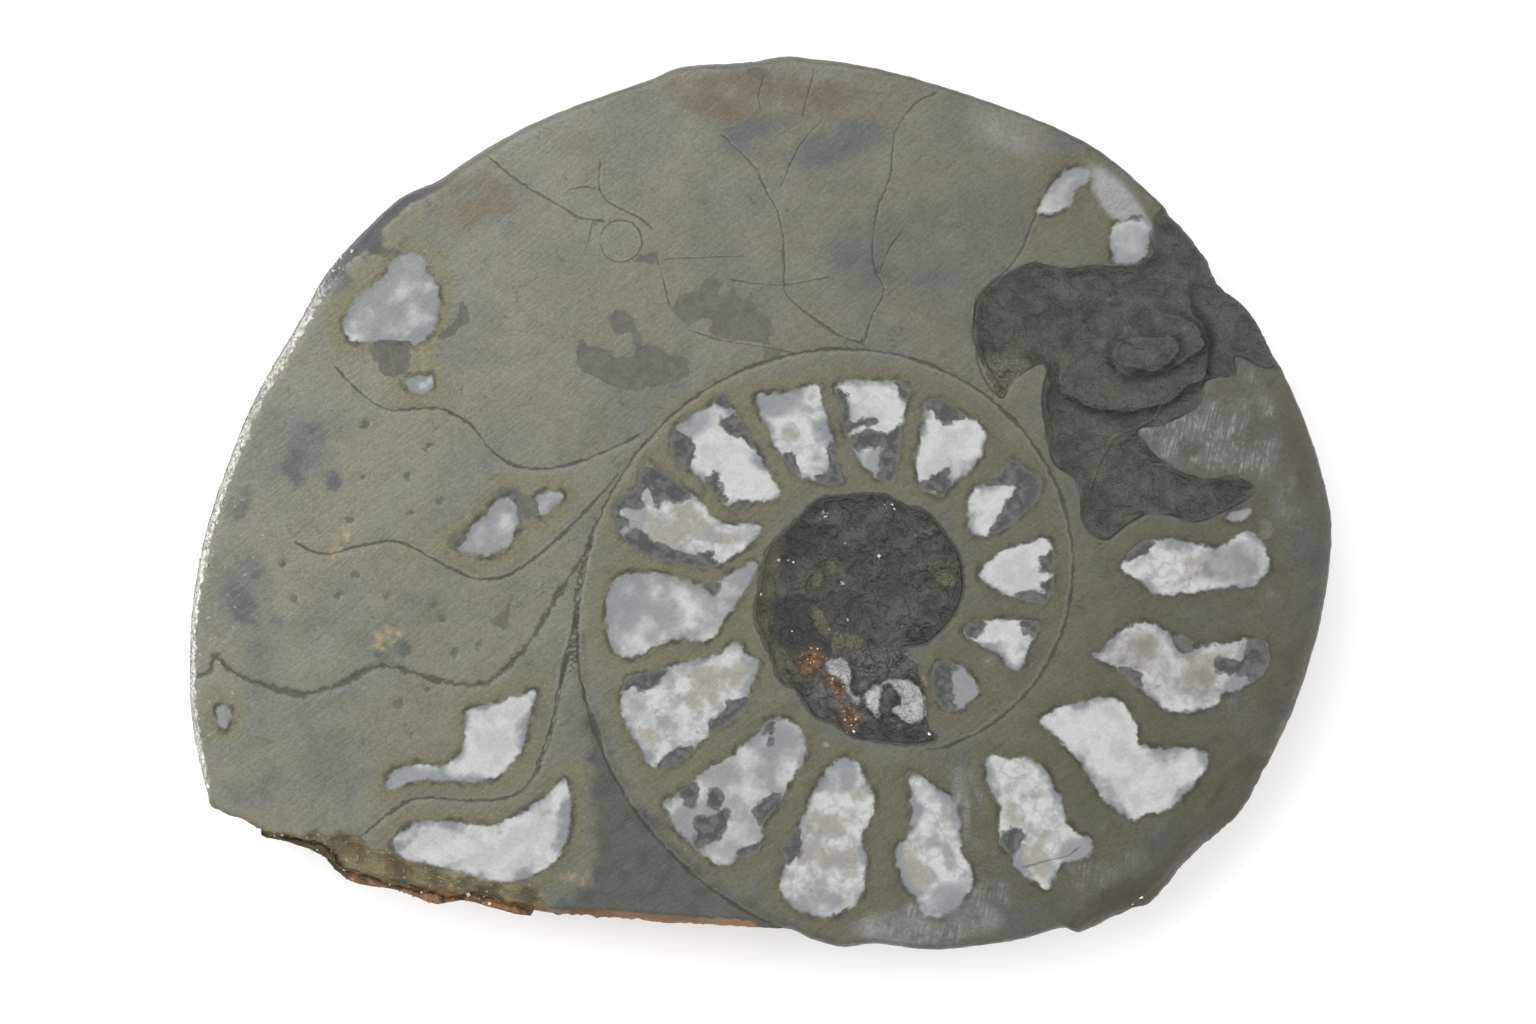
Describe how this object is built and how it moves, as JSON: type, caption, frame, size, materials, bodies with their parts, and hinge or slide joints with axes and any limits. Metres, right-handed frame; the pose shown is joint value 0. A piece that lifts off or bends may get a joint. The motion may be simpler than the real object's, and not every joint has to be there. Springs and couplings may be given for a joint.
{
  "type": "ammonite fossil",
  "caption": "Half of a coiled fossil shell turned to pyrite, sawn flat and polished to show its white calcite chambers, resting on its ribbed natural flank.",
  "frame": {"origin": "on the surface that the fossil lies on, under the middle of its outline", "axes": "+Z out of the polished face, upwards; +X along the fossil's longest extent, to the right as the polished face is read with its broken mouth at the lower left; +Y up the polished face"},
  "size_m": [0.1147, 0.0898, 0.016],
  "materials": {
    "pyrite_stone": "satin"
  },
  "bodies": {
    "root": {"ammonite_fossil": "pyrite_stone"}
  },
  "joints": []
}
